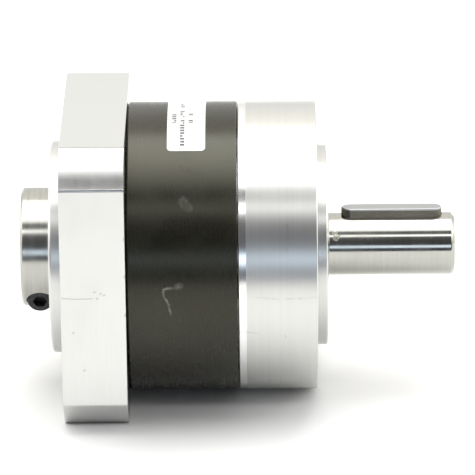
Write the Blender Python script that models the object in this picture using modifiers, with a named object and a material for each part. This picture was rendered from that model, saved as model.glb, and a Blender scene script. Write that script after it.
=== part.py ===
"""Inline planetary gear reducer: one stage, 4 to 1, round output flange, clamp hub input.

The world X axis is the axis of both shafts, with +X towards the output shaft and +Z up. The origin
is on that axis, in the joint between the ring gear and the output flange, which is also the middle
of the reducer's box. Lengths below are in millimetres, and MM turns them into metres. Angles about
the axis are in degrees from +Y towards +Z. Outlines and profiles are drawn in a local frame whose
Z axis is laid along world X, local X along world Y and local Y along world Z.
"""

import math

import bmesh
import bpy
from mathutils import Matrix, Vector

MM = 0.001
ALONG_X = (math.pi / 2, 0.0, math.pi / 2)

# Gear train
GEAR_MODULE = 1.5
SUN_TEETH = 18
PLANET_TEETH = 18
RING_TEETH = SUN_TEETH + 2 * PLANET_TEETH
PRESSURE_ANGLE = math.radians(20.0)
FLANK_RELIEF = 0.07
PLANET_ANGLES = (90.0, 210.0, 330.0)
PLANET_ORBIT_R = GEAR_MODULE * (SUN_TEETH + PLANET_TEETH) / 2
RING_TIP_R = 39.2
RING_ROOT_R = 42.4

# Housing
HOUSING_R = 57.5
SQUARE_HALF = 58.0
SQUARE_CORNER_R = 73.0
RING_X = (-43.35, -0.15)
OUTPUT_FACE_X = 31.25
INPUT_FACE_X = -69.0
COLLAR_R, COLLAR_X = 40.0, 35.35
BOSS_R, BOSS_X = 42.3, -74.25
SPIGOT_R = 42.85
REGISTER_R = 43.1
SCREW_CIRCLE_R = 50.0
HOUSING_SCREW_ANGLES = (0.0, 90.0, 180.0, 270.0)
TAPPED_HOLE_ANGLES = (45.0, 135.0, 225.0, 315.0)
OUTPUT_TAP_R, OUTPUT_TAP_DEPTH = 4.25, 18.0
ADAPTER_CIRCLE_R = 65.0
ADAPTER_TAP_R, ADAPTER_TAP_DEPTH = 3.4, 16.0

# Output shaft and carrier
SHAFT_R, SHAFT_END_X, SHAFT_STEP_X = 12.5, 86.25, 36.0
SHAFT_CHAMFER = 1.6
CENTRE_TAP_R, CENTRE_TAP_DEPTH = 4.25, 22.0
KEY_WIDTH, KEY_HEIGHT, KEY_LENGTH, KEY_DEPTH = 8.0, 7.0, 40.0, 4.0
KEY_X, KEY_ANGLE = 61.25, 85.5
CARRIER_R = 38.0
CARRIER_X = (-43.0, -4.8)
POCKET_X = (-37.3, -11.5)
POCKET_R = 16.5
PIN_R = 6.0
PLANET_BORE_R = 8.0
PLANET_X = (-36.35, -12.45)

# Clamp hub and its screw
HUB_R, HUB_END_X = 23.75, -86.25
HUB_BORE_R, HUB_BORE_END_X = 7.0, -56.0
HUB_INNER_X = -46.0
CLAMP_X, CLAMP_OFFSET = -79.0, 10.4
CLAMP_SEAT, CLAMP_LENGTH = 16.2, 30.0
CLAMP_RECESS_R = 5.5
CLAMP_BELOW_LEVEL = 17.8
SLIT_WIDTH, SLIT_END_X = 2.0, -73.0

# Bearings: bore radius, outside radius, middle X, width, ball radius
FRONT_BEARING = (15.0, 27.5, 18.75, 13.0, 3.3)
REAR_BEARING = (20.0, 34.0, 3.5, 15.0, 3.8)
INPUT_BEARING = (20.0, 34.0, -58.5, 15.0, 3.8)
BALL_COUNT = 8

FIT = 0.15          # radial play of a seated part
SIDES_HOUSING = 36
SIDES_SHAFT = 28
SIDES_RING = 24
SIDES_CIRCLIP = 16
SIDES_SMALL = 12

PARTS = None
CUTTERS = None


# ---------------------------------------------------------------- scene, materials and helpers

def clear_scene():
    for obj in list(bpy.data.objects):
        bpy.data.objects.remove(obj, do_unlink=True)


def make_collection(name):
    group = bpy.data.collections.new(name)
    bpy.context.scene.collection.children.link(group)
    return group


def make_material(name, colour, metallic, roughness):
    mat = bpy.data.materials.new(name)
    mat.use_nodes = True
    shader = mat.node_tree.nodes["Principled BSDF"]
    shader.inputs["Base Color"].default_value = (*colour, 1.0)
    shader.inputs["Metallic"].default_value = metallic
    shader.inputs["Roughness"].default_value = roughness
    mat.diffuse_color = (*colour, 1.0)
    return mat


def machined_aluminium(name):
    return make_material(name, (0.78, 0.78, 0.77), 0.9, 0.35)


def black_steel(name):
    return make_material(name, (0.035, 0.035, 0.033), 0.6, 0.45)


def ground_steel(name):
    return make_material(name, (0.62, 0.62, 0.61), 1.0, 0.25)


def seal_rubber(name):
    return make_material(name, (0.03, 0.03, 0.03), 0.0, 0.8)


def white_foil(name):
    return make_material(name, (0.85, 0.85, 0.85), 0.0, 0.5)


def add_object(name, mesh, finish):
    """Link a mesh as a part with its own material, or as a hidden cutter when finish is None."""
    obj = bpy.data.objects.new(name, mesh)
    if finish is None:
        CUTTERS.objects.link(obj)
        obj.hide_render = True
        obj.display_type = "WIRE"
    else:
        PARTS.objects.link(obj)
        if not mesh.materials:
            mesh.materials.append(finish(name))
    return obj


def shade(mesh):
    mesh.shade_smooth()
    mesh.set_sharp_from_angle(angle=math.radians(30))


def around(radius, angle):
    """Point at a radius and an angle about the shaft axis, as (0, y, z) in metres."""
    a = math.radians(angle)
    return Vector((0.0, radius * math.cos(a) * MM, radius * math.sin(a) * MM))


def turned(name, profile, sides, finish, location=(0, 0, 0), rotation=ALONG_X):
    """Turn a profile of (radius, distance along the axis) points, run down its outer side.

    A profile that starts and ends at radius 0 is solid, and any other is closed into a ring.
    """
    mesh = bpy.data.meshes.new(name)
    solid = profile[0][0] == 0
    count = len(profile)
    edges = [(i, i + 1) for i in range(count - 1)]
    if not solid:
        edges.append((count - 1, 0))
    mesh.from_pydata([(r * MM, 0.0, x * MM) for r, x in profile], edges, [])
    obj = add_object(name, mesh, finish)
    obj.location = location
    obj.rotation_euler = rotation
    turn = obj.modifiers.new("turn", "SCREW")
    turn.axis = "Z"
    turn.steps = sides
    turn.render_steps = sides
    turn.use_merge_vertices = True
    turn.merge_threshold = 0.00001
    turn.use_smooth_shade = True
    return obj


def cylinders(name, spans, sides, radius, finish=None):
    """Cylinders along X as one object: spans holds (centre y and z vector, low X, high X)."""
    bm = bmesh.new()
    for centre, low, high in spans:
        middle = Vector(((low + high) / 2 * MM, centre.y, centre.z))
        place = Matrix.Translation(middle) @ Matrix.Rotation(math.pi / 2, 4, "Y")
        bmesh.ops.create_cone(bm, cap_ends=True, segments=sides, radius1=radius * MM,
                              radius2=radius * MM, depth=(high - low) * MM, matrix=place)
    mesh = bpy.data.meshes.new(name)
    bm.to_mesh(mesh)
    bm.free()
    return add_object(name, mesh, finish)


def block(name, size, centre, rotation=(0, 0, 0)):
    """Box cutter of a size in millimetres, its centre given in its own turned frame."""
    bm = bmesh.new()
    scale = Matrix.Diagonal((*[s * MM for s in size], 1.0))
    bmesh.ops.create_cube(bm, size=1.0, matrix=Matrix.Translation(Vector(centre) * MM) @ scale)
    mesh = bpy.data.meshes.new(name)
    bm.to_mesh(mesh)
    bm.free()
    obj = add_object(name, mesh, None)
    obj.rotation_euler = rotation
    return obj


def plate(name, outlines, low, high, finish, rotation=ALONG_X):
    """Flat outlines, outer first and then holes, filled and drawn out from low to high."""
    curve = bpy.data.curves.new(name + "_outline", "CURVE")
    curve.dimensions = "2D"
    curve.fill_mode = "BOTH"
    curve.extrude = (high - low) / 2 * MM
    for outline in outlines:
        spline = curve.splines.new("POLY")
        spline.points.add(len(outline) - 1)
        for point, (x, y) in zip(spline.points, outline):
            point.co = (x * MM, y * MM, 0.0, 1.0)
        spline.use_cyclic_u = True
    source = bpy.data.objects.new(name + "_outline", curve)
    bpy.context.scene.collection.objects.link(source)
    bpy.context.view_layer.update()
    depsgraph = bpy.context.evaluated_depsgraph_get()
    mesh = bpy.data.meshes.new_from_object(source.evaluated_get(depsgraph))
    mesh.name = name
    bpy.data.objects.remove(source, do_unlink=True)
    bm = bmesh.new()
    bm.from_mesh(mesh)
    bmesh.ops.remove_doubles(bm, verts=bm.verts, dist=0.000001)
    bmesh.ops.translate(bm, verts=bm.verts, vec=(0.0, 0.0, (low + high) / 2 * MM))
    bmesh.ops.recalc_face_normals(bm, faces=bm.faces)
    bm.to_mesh(mesh)
    bm.free()
    shade(mesh)
    obj = add_object(name, mesh, finish)
    obj.rotation_euler = rotation
    return obj


def combine(obj, other, operation):
    step = obj.modifiers.new(other.name, "BOOLEAN")
    step.operation = operation
    step.solver = "EXACT"
    step.object = other


def cut(obj, *cutters):
    for cutter in cutters:
        combine(obj, cutter, "DIFFERENCE")


def arc(radius, start, end, steps, centre=(0.0, 0.0)):
    """Points along an arc, both ends included, in degrees."""
    points = []
    for i in range(steps + 1):
        a = math.radians(start + (end - start) * i / steps)
        points.append((centre[0] + radius * math.cos(a), centre[1] + radius * math.sin(a)))
    return points


def circle(radius, sides):
    return arc(radius, 0.0, 360.0, sides)[:-1]


# ---------------------------------------------------------------- gear outlines

def involute(angle):
    return math.tan(angle) - angle


def tooth_half_angle(radius, pitch_r, relief):
    """Half the angle that an external tooth spans at a radius, thinned by relief on each flank."""
    base_r = pitch_r * math.cos(PRESSURE_ANGLE)
    at_pitch = math.pi * GEAR_MODULE / 4 / pitch_r - relief / pitch_r
    pressure = math.acos(min(1.0, base_r / radius))
    return at_pitch + involute(PRESSURE_ANGLE) - involute(pressure)


def gear_outline(teeth, root_r, tip_r, flank_radii, relief, first_tooth=0.0):
    """Toothed outline, with one tooth centred on the angle first_tooth, in degrees."""
    pitch_r = GEAR_MODULE * teeth / 2
    base_r = pitch_r * math.cos(PRESSURE_ANGLE)
    rise = [root_r, *flank_radii, tip_r]
    points = []
    for k in range(teeth):
        middle = math.radians(first_tooth) + 2 * math.pi * k / teeth
        halves = [tooth_half_angle(max(r, base_r), pitch_r, relief) for r in rise]
        for r, half in zip(rise, halves):
            points.append((r * math.cos(middle - half), r * math.sin(middle - half)))
        for r, half in zip(reversed(rise), reversed(halves)):
            points.append((r * math.cos(middle + half), r * math.sin(middle + half)))
    return points


def small_gear_outline(teeth, first_tooth):
    pitch_r = GEAR_MODULE * teeth / 2
    base_r = pitch_r * math.cos(PRESSURE_ANGLE)
    flank = (base_r, pitch_r + 0.1)
    root_r = pitch_r - 1.25 * GEAR_MODULE
    return gear_outline(teeth, root_r, pitch_r + GEAR_MODULE, flank, FLANK_RELIEF, first_tooth)


# ---------------------------------------------------------------- housing

def make_cutters():
    """Hole patterns that two or more parts share, or that stand for a thread or a recess."""
    screw_at = [around(SCREW_CIRCLE_R, a) for a in HOUSING_SCREW_ANGLES]
    tap_at = [around(SCREW_CIRCLE_R, a) for a in TAPPED_HOLE_ANGLES]
    adapter_at = [around(ADAPTER_CIRCLE_R, a) for a in TAPPED_HOLE_ANGLES]
    face, back = OUTPUT_FACE_X, INPUT_FACE_X
    return {
        "output_counterbores": cylinders(
            "cut_output_counterbores", [(p, face - 6.5, face + 2) for p in screw_at],
            SIDES_SMALL, 5.6),
        "output_screw_holes": cylinders(
            "cut_output_screw_holes", [(p, -11.5, face - 6) for p in screw_at], SIDES_SMALL, 3.4),
        "output_taps": cylinders(
            "cut_output_taps", [(p, face - OUTPUT_TAP_DEPTH, face + 2) for p in tap_at],
            SIDES_SMALL, OUTPUT_TAP_R),
        "input_counterbores": cylinders(
            "cut_input_counterbores", [(p, back - 2, back + 6.5) for p in screw_at],
            SIDES_SMALL, 5.6),
        "input_screw_holes": cylinders(
            "cut_input_screw_holes", [(p, back + 6, -31.5) for p in screw_at], SIDES_SMALL, 3.4),
        "adapter_taps": cylinders(
            "cut_adapter_taps", [(p, back - 2, back + ADAPTER_TAP_DEPTH) for p in adapter_at],
            SIDES_SMALL, ADAPTER_TAP_R),
    }


def make_output_flange(cutters):
    flange = turned("output_flange", [
        (39.5, COLLAR_X), (COLLAR_R, COLLAR_X - 0.5), (COLLAR_R, OUTPUT_FACE_X),
        (57.0, OUTPUT_FACE_X), (HOUSING_R, OUTPUT_FACE_X - 0.5), (HOUSING_R, 0.65),
        (57.0, 0.15), (SPIGOT_R, 0.15), (SPIGOT_R, -4.0), (34.2, -4.0), (34.2, 11.3),
        (25.2, 11.3), (25.2, 12.0), (27.7, 12.0), (27.7, 25.5), (29.2, 25.5), (29.2, 27.6),
        (27.7, 27.6), (27.7, COLLAR_X),
    ], SIDES_HOUSING, machined_aluminium)
    cut(flange, cutters["output_counterbores"], cutters["output_screw_holes"],
        cutters["output_taps"])


def make_ring_gear(cutters):
    low, high = RING_X
    ring = turned("ring_gear", [
        (REGISTER_R + 2.5, high), (56.7, high), (HOUSING_R, high - 0.8), (HOUSING_R, low + 0.8),
        (56.7, low), (REGISTER_R + 2.5, low), (REGISTER_R, low + 2.5), (REGISTER_R, -38.5),
        (RING_TIP_R, -38.5), (RING_TIP_R, -5.5), (REGISTER_R, -5.5), (REGISTER_R, high - 2.5),
    ], SIDES_HOUSING, black_steel)
    spaces = plate("cut_ring_teeth", [
        gear_outline(RING_TEETH, 38.6, RING_ROOT_R, (40.7,), -FLANK_RELIEF),
    ], -39.0, -5.0, None)
    cut(ring, spaces, cutters["output_screw_holes"], cutters["input_screw_holes"])


def make_input_flange(cutters):
    half = SQUARE_HALF
    reach = math.sqrt(SQUARE_CORNER_R ** 2 - half ** 2)
    corner = math.degrees(math.atan2(reach, half))
    outline = []
    for k in range(4):
        outline += arc(SQUARE_CORNER_R, 90 * k + corner, 90 * (k + 1) - corner, 4)
    flange = plate("input_flange", [outline], INPUT_FACE_X, -43.65, machined_aluminium)
    inside = turned("cut_input_flange_bore", [
        (0.0, -38.0), (39.4, -38.0), (39.4, -44.4), (34.2, -44.4), (34.2, -48.7), (35.7, -48.7),
        (35.7, -50.9), (34.2, -50.9), (34.2, -66.2), (31.2, -66.2), (31.2, -76.0), (0.0, -76.0),
    ], SIDES_HOUSING, None)
    boss = turned("join_boss", [
        (0.0, -60.0), (BOSS_R, -60.0), (BOSS_R, BOSS_X + 1.2), (BOSS_R - 1.2, BOSS_X),
        (0.0, BOSS_X),
    ], SIDES_HOUSING, None)
    spigot = turned("join_spigot", [
        (0.0, -39.0), (SPIGOT_R, -39.0), (SPIGOT_R, -50.0), (0.0, -50.0),
    ], SIDES_HOUSING, None)
    combine(flange, boss, "UNION")
    combine(flange, spigot, "UNION")
    cut(flange, inside, cutters["input_counterbores"], cutters["input_screw_holes"],
        cutters["adapter_taps"])


def make_seals():
    turned("output_seal", [
        (24.5, 34.0), (24.5, 35.1), (27.4, 35.1), (27.4, 28.1), (18.0, 28.1), (15.35, 32.0),
        (15.35, 34.2),
    ], SIDES_RING, seal_rubber)
    turned("input_seal", [
        (30.85, -66.6), (30.85, -73.5), (28.0, -73.5), (27.6, -72.4), (22.95, -72.6),
        (22.95, -71.0), (25.0, -66.6),
    ], SIDES_RING, seal_rubber)


def make_o_rings():
    """A round cord of square outline in the chamfer at each housing joint."""
    for name, middle in (("output_o_ring", -0.8), ("input_o_ring", -42.7)):
        turned(name, [
            (43.75, middle + 0.6), (44.35, middle), (43.75, middle - 0.6), (43.15, middle),
        ], SIDES_HOUSING, seal_rubber)


def screw_profile(thread_r, head_r, head_height, length):
    """Socket head screw with its head on the +Z side and its seat at 0."""
    return [(0.0, head_height), (head_r, head_height), (head_r, 0.0), (thread_r, 0.0),
            (thread_r, -length), (0.0, -length)]


def add_socket(screw, name, location, rotation, head_height, across_corners_r):
    """Hexagon socket, half as deep as the head, cut with a six-sided turned plug."""
    plug = turned(name, [
        (0.0, head_height + 1.0), (across_corners_r, head_height + 1.0),
        (across_corners_r, head_height / 2), (0.0, head_height / 2),
    ], 6, None, location, rotation)
    cut(screw, plug)


def make_housing_screws():
    """Four M6 screws at each end: the seat's X, the way the head points and the length."""
    ends = (("output_flange_screw", OUTPUT_FACE_X - 6.2, 1, 35.0),
            ("input_flange_screw", INPUT_FACE_X + 6.2, -1, 30.0))
    for name, seat_x, way, length in ends:
        rotation = (0.0, way * math.pi / 2, 0.0)
        for k, angle in enumerate(HOUSING_SCREW_ANGLES, 1):
            place = around(SCREW_CIRCLE_R, angle) + Vector((seat_x * MM, 0, 0))
            screw = turned(f"{name}_{k}", screw_profile(3.0, 5.0, 6.0, length), SIDES_SMALL,
                           black_steel, place, rotation)
            add_socket(screw, f"cut_{name}_{k}_socket", place, rotation, 6.0, 2.9)


def make_rating_label():
    """Thin foil over a sixth of the ring gear's top, bent to the housing's own facets."""
    steps = SIDES_HOUSING // 6
    outline = arc(HOUSING_R + 0.4, 60, 120, steps) + arc(HOUSING_R + 0.2, 120, 60, steps)
    plate("rating_label", [outline], -27.35, -12.35, white_foil)


# ---------------------------------------------------------------- bearings and circlips

def make_bearing(name, spec, shaft_play=0.35):
    """Two grooved rings, and the balls joined to their cage as one piece."""
    bore_r, outside_r, x, width, ball_r = spec
    place = (x * MM, 0.0, 0.0)
    half = width / 2 - 0.1
    pitch_r = (bore_r + outside_r) / 2
    groove = ball_r + 0.4
    inner_side, outer_side = pitch_r - 0.62 * ball_r, pitch_r + 0.62 * ball_r
    flat = 0.45 * ball_r
    turned(f"{name}_outer_ring", [
        (outside_r - FIT, half), (outside_r - FIT, -half), (outer_side, -half),
        (pitch_r + groove, -flat), (pitch_r + groove, flat), (outer_side, half),
    ], SIDES_RING, ground_steel, place)
    turned(f"{name}_inner_ring", [
        (inner_side, half), (pitch_r - groove, flat), (pitch_r - groove, -flat),
        (inner_side, -half), (bore_r + shaft_play, -half), (bore_r + shaft_play, half),
    ], SIDES_RING, ground_steel, place)
    cage = turned(f"{name}_balls", [
        (pitch_r + 0.9, 0.8 * ball_r), (pitch_r + 0.9, -0.8 * ball_r),
        (pitch_r - 0.9, -0.8 * ball_r), (pitch_r - 0.9, 0.8 * ball_r),
    ], 2 * BALL_COUNT, ground_steel, place)
    bm = bmesh.new()
    for k in range(BALL_COUNT):
        centre = around(pitch_r, 360 / BALL_COUNT * (k + 0.25)) + Vector(place)
        bmesh.ops.create_uvsphere(bm, u_segments=8, v_segments=4, radius=ball_r * MM,
                                  matrix=Matrix.Translation(centre))
    mesh = bpy.data.meshes.new(f"join_{name}_balls")
    bm.to_mesh(mesh)
    bm.free()
    combine(cage, add_object(f"join_{name}_balls", mesh, None), "UNION")


def make_circlip(name, inside_r, outside_r, low, high, gap_angle, lugs_inside):
    """Open ring with two widened ends, where the pliers hold it."""
    start, end = gap_angle / 2, 360 - gap_angle / 2
    lug = 8.0
    outer = arc(outside_r, start, end, SIDES_CIRCLIP)
    inner = arc(inside_r, end, start, SIDES_CIRCLIP)
    if lugs_inside:
        inner = (arc(inside_r - 2.2, end, end - lug, 1)
                 + arc(inside_r, end - lug, start + lug, SIDES_CIRCLIP)
                 + arc(inside_r - 2.2, start + lug, start, 1))
    else:
        outer = (arc(outside_r + 2.2, start, start + lug, 1)
                 + arc(outside_r, start + lug, end - lug, SIDES_CIRCLIP)
                 + arc(outside_r + 2.2, end - lug, end, 1))
    plate(name, [outer + inner], low, high, black_steel)


def make_circlips():
    make_circlip("output_bore_circlip", 24.9, 28.8, 25.75, 27.35, 24, True)
    make_circlip("output_shaft_circlip", 14.4, 16.9, 25.6, 27.1, 30, False)
    make_circlip("input_bore_circlip", 31.4, 35.1, -50.6, -49.0, 20, True)
    make_circlip("input_hub_circlip", 19.5, 22.2, -50.6, -49.1, 24, False)


# ---------------------------------------------------------------- output shaft, carrier and planets

def make_keyway_cutter():
    """Round-ended slot across the shaft, turned to the key's angle."""
    width, length = KEY_WIDTH + 0.5, KEY_LENGTH + 0.5
    return plate("cut_keyway", [stadium(length, width)], SHAFT_R - KEY_DEPTH - 0.25,
                 SHAFT_R + 3.0, None, (math.radians(KEY_ANGLE - 90), 0, 0))


def stadium(length, width):
    straight = (length - width) / 2
    return (arc(width / 2, -90, 90, 6, (KEY_X + straight, 0.0))
            + arc(width / 2, 90, 270, 6, (KEY_X - straight, 0.0)))


def make_shaft_key():
    plate("shaft_key", [stadium(KEY_LENGTH, KEY_WIDTH)], SHAFT_R - KEY_DEPTH,
          SHAFT_R - KEY_DEPTH + KEY_HEIGHT, ground_steel, (math.radians(KEY_ANGLE - 90), 0, 0))


def make_output_shaft():
    """Shaft and planet carrier in one piece: two discs joined by webs between the planets."""
    low, high = CARRIER_X
    shaft = turned("output_shaft", [
        (0.0, SHAFT_END_X), (SHAFT_R - SHAFT_CHAMFER, SHAFT_END_X),
        (SHAFT_R, SHAFT_END_X - SHAFT_CHAMFER), (SHAFT_R, SHAFT_STEP_X), (15.0, SHAFT_STEP_X),
        (15.0, 27.3), (14.0, 27.3), (14.0, 25.4), (15.0, 25.4), (15.0, 11.6), (20.0, 11.6),
        (20.0, -4.3), (24.0, -4.3), (24.0, high), (CARRIER_R, high), (CARRIER_R, low),
        (POCKET_R, low), (POCKET_R, -11.5), (0.0, -11.5),
    ], SIDES_SHAFT, ground_steel)
    centre_tap = turned("cut_centre_tap", [
        (0.0, SHAFT_END_X + 1), (6.2, SHAFT_END_X + 1), (CENTRE_TAP_R, SHAFT_END_X - 1.0),
        (CENTRE_TAP_R, SHAFT_END_X - CENTRE_TAP_DEPTH), (0.0, SHAFT_END_X - CENTRE_TAP_DEPTH),
    ], SIDES_SMALL, None)
    planet_at = [around(PLANET_ORBIT_R, a) for a in PLANET_ANGLES]
    pockets = cylinders("cut_planet_pockets", [(p, *POCKET_X) for p in planet_at],
                        SIDES_RING, POCKET_R)
    pin_holes = cylinders("cut_pin_holes", [(p, low - 1, -5.5) for p in planet_at],
                          SIDES_SMALL, PIN_R + 0.5)
    cut(shaft, centre_tap, make_keyway_cutter(), pockets, pin_holes)


def make_planet_group():
    """For each planet: the gear, its needle cage, its pin and a thrust washer on each side."""
    low, high = PLANET_X
    outline = small_gear_outline(PLANET_TEETH, 0.0)
    for k, angle in enumerate(PLANET_ANGLES, 1):
        place = around(PLANET_ORBIT_R, angle)
        gear = plate(f"planet_gear_{k}", [outline, circle(PLANET_BORE_R, 16)], low, high,
                     ground_steel)
        gear.location = place
        turned(f"planet_pin_{k}", [
            (0.0, -5.8), (PIN_R, -5.8), (PIN_R, -42.7), (0.0, -42.7),
        ], 16, ground_steel, place)
        turned(f"needle_cage_{k}", [
            (7.65, high - 0.4), (7.65, low + 0.4), (6.3, low + 0.4), (6.3, high - 0.4),
        ], 16, ground_steel, place)
        for side, x in (("rear", (POCKET_X[0] + low) / 2), ("front", (POCKET_X[1] + high) / 2)):
            turned(f"thrust_washer_{side}_{k}", [
                (10.5, x + 0.22), (10.5, x - 0.22), (6.4, x - 0.22), (6.4, x + 0.22),
            ], SIDES_SMALL, ground_steel, place)


# ---------------------------------------------------------------- input side

def make_sun_gear():
    """Toothed end of the input pinion, and the shank that is pressed into the clamp hub."""
    phase = PLANET_ANGLES[0]
    sun = plate("sun_gear", [small_gear_outline(SUN_TEETH, phase)], -37.5, -12.3, ground_steel)
    shank = turned("join_sun_shank", [
        (0.0, -36.0), (10.0, -36.0), (10.0, -55.4), (9.5, -55.9), (0.0, -55.9),
    ], SIDES_RING, None)
    combine(sun, shank, "UNION")


def make_clamp_hub_and_screw():
    """Bored and slit hub, with a screw across the slit that closes it on the motor's shaft."""
    turn = math.radians(90 + CLAMP_BELOW_LEVEL)
    hub = turned("clamp_hub", [
        (20.0, HUB_INNER_X), (20.0, -49.0), (19.0, -49.0), (19.0, -50.75), (20.0, -50.75),
        (20.0, -66.3), (22.5, -66.3), (22.5, -73.7), (HUB_R, -73.7), (HUB_R, HUB_END_X + 0.9),
        (HUB_R - 0.9, HUB_END_X), (HUB_BORE_R + 0.6, HUB_END_X), (HUB_BORE_R, HUB_END_X + 0.6),
        (HUB_BORE_R, HUB_BORE_END_X), (10.35, HUB_BORE_END_X), (10.35, HUB_INNER_X),
    ], SIDES_SHAFT, ground_steel)
    inside, outside = HUB_BORE_R - 1.0, HUB_R + 1.5
    slit = block("cut_clamp_slit", (SLIT_END_X - HUB_END_X + 1, outside - inside, SLIT_WIDTH),
                 ((SLIT_END_X + HUB_END_X - 1) / 2, -(inside + outside) / 2, 0.0), (turn, 0, 0))
    frame = Matrix.Rotation(turn, 3, "X")
    place = frame @ Vector((CLAMP_X, -CLAMP_OFFSET, 0.0)) * MM
    seat_place = frame @ Vector((CLAMP_X, -CLAMP_OFFSET, CLAMP_SEAT)) * MM
    hole_end = CLAMP_SEAT - CLAMP_LENGTH - 1.3
    recess = turned("cut_clamp_recess", [
        (0.0, 30.0), (CLAMP_RECESS_R, 30.0), (CLAMP_RECESS_R, CLAMP_SEAT - 0.3),
        (3.4, CLAMP_SEAT - 0.3), (3.4, hole_end), (0.0, hole_end),
    ], SIDES_SMALL, None, place, (turn, 0, 0))
    cut(hub, slit, recess)
    screw = turned("clamp_screw", screw_profile(3.0, 5.0, 6.0, CLAMP_LENGTH), SIDES_SMALL,
                   black_steel, seat_place, (turn, 0, 0))
    add_socket(screw, "cut_clamp_screw_socket", seat_place, (turn, 0, 0), 6.0, 2.9)


def build():
    global PARTS, CUTTERS
    clear_scene()
    PARTS = make_collection("inline_gear_reducer")
    CUTTERS = make_collection("cutters")
    cutters = make_cutters()
    make_output_flange(cutters)
    make_ring_gear(cutters)
    make_input_flange(cutters)
    make_seals()
    make_o_rings()
    make_housing_screws()
    make_rating_label()
    make_bearing("front_bearing", FRONT_BEARING)
    make_bearing("rear_bearing", REAR_BEARING)
    make_bearing("input_bearing", INPUT_BEARING)
    make_circlips()
    make_output_shaft()
    make_shaft_key()
    make_planet_group()
    make_sun_gear()
    make_clamp_hub_and_screw()


build()
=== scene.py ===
import math

import bmesh
import bpy
from mathutils import Matrix, Vector


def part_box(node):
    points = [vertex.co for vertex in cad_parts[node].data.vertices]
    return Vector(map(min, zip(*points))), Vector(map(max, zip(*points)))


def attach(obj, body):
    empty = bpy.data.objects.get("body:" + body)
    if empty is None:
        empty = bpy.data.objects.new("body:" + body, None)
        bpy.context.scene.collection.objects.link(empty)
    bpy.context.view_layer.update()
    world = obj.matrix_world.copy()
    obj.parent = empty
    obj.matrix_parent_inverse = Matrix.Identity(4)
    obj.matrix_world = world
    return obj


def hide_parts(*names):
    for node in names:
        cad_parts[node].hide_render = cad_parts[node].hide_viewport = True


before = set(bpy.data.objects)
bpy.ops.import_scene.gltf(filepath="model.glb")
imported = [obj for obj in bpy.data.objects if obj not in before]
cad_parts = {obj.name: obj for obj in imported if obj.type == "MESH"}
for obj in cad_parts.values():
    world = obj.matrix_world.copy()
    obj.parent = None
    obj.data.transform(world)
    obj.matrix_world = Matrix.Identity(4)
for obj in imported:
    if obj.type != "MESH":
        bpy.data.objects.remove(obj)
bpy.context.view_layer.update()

# Lengths below are in millimetres and angles in degrees, about the shafts' axis from +Y towards +Z.
MM = 0.001


def node_box(name):
    """Lowest and highest corners of a CAD node, in millimetres."""
    low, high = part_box(name)
    return low / MM, high / MM


# ---------------------------------------------------------------- sizes read from the frame

FLANGE_HIGH = node_box("output_flange")[1]
RING_LOW, RING_HIGH = node_box("ring_gear")
SQUARE_LOW, SQUARE_HIGH = node_box("input_flange")
SHAFT_HIGH = node_box("output_shaft")[1]
KEY_LOW, KEY_HIGH = node_box("shaft_key")
HUB_LOW, HUB_HIGH = node_box("clamp_hub")

HOUSING_R = FLANGE_HIGH.z
COLLAR_X = FLANGE_HIGH.x
SQUARE_HALF = SQUARE_HIGH.z
BOSS_X = SQUARE_LOW.x
SHAFT_END_X = SHAFT_HIGH.x
HUB_R = HUB_HIGH.z
HUB_END_X = HUB_LOW.x
FLOOR_Z = SQUARE_LOW.z

# ---------------------------------------------------------------- sizes of the details

OUTPUT_FACE_X = COLLAR_X - 4.1
COLLAR_R = 40.0
OUTPUT_BORE_R = 27.7
FINE_BAND_X = 3.35
REGISTER_R = 42.85
RING_BORE_R = 39.2
RING_TEETH = 54
INPUT_FACE_X = BOSS_X + 5.25
BOSS_R = 42.3
SQUARE_CORNER_R = 73.0
SQUARE_BACK_X = -43.55

SCREW_CIRCLE_R = 50.0
ADAPTER_CIRCLE_R = 65.0
SCREW_ANGLES = (0, 90, 180, 270)
TAP_ANGLES = (45, 135, 225, 315)
SCREW_R, HEAD_R, HEAD_HEIGHT, HEXAGON_R = 3.0, 5.0, 6.0, 2.9
SCREW_HOLE_R, COUNTERBORE_R, COUNTERBORE_DEPTH, LEAD_IN = 3.4, 5.6, 6.5, 0.5
HEAD_SEAT_DEPTH = 6.3
OUTPUT_TAP_R, INPUT_TAP_R = 4.25, 3.4

SHAFT_R = 12.5
SHAFT_STEP_X = 36.0
SEAL_SEAT_R = 15.0
CARRIER_R = 38.0
CARRIER_END_X = -43.0
PLANET_ORBIT_R = 27.0
PLANET_ANGLES = (90, 210, 330)
POCKET_R, POCKET_END_X = 16.5, -37.3
POCKET_START_X = -11.5
PIN_HOLE_R, PIN_HOLE_START_X = 6.2, -5.5
KEY_ANGLE = 85.5
KEY_LENGTH, KEY_WIDTH, KEY_DEPTH, KEY_ABOVE = 40.0, 8.0, 4.0, 3.0

HUB_BORE_R = 7.0
HUB_TUBE_R, HUB_NECK_R = 20.0, 22.5
HUB_SLIT_X = -73.0
CLAMP_X, CLAMP_OFFSET, CLAMP_SEAT, CLAMP_LENGTH = -79.0, 10.4, 16.2, 30.0
CLAMP_TURN = math.radians(107.8)

LABEL_X = (-27.35, -12.35)
LABEL_ANGLES = (60.0, 119.2)

ROUND_STEPS = 180
FINE_STEPS = 144
SMALL_STEPS = 40

# Turns local Z to the shafts' axis, local X to Y and local Y to Z.
ALONG_X = Matrix(((0, 0, 1, 0), (1, 0, 0, 0), (0, 1, 0, 0), (0, 0, 0, 1)))


# ---------------------------------------------------------------- mesh helpers

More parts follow.
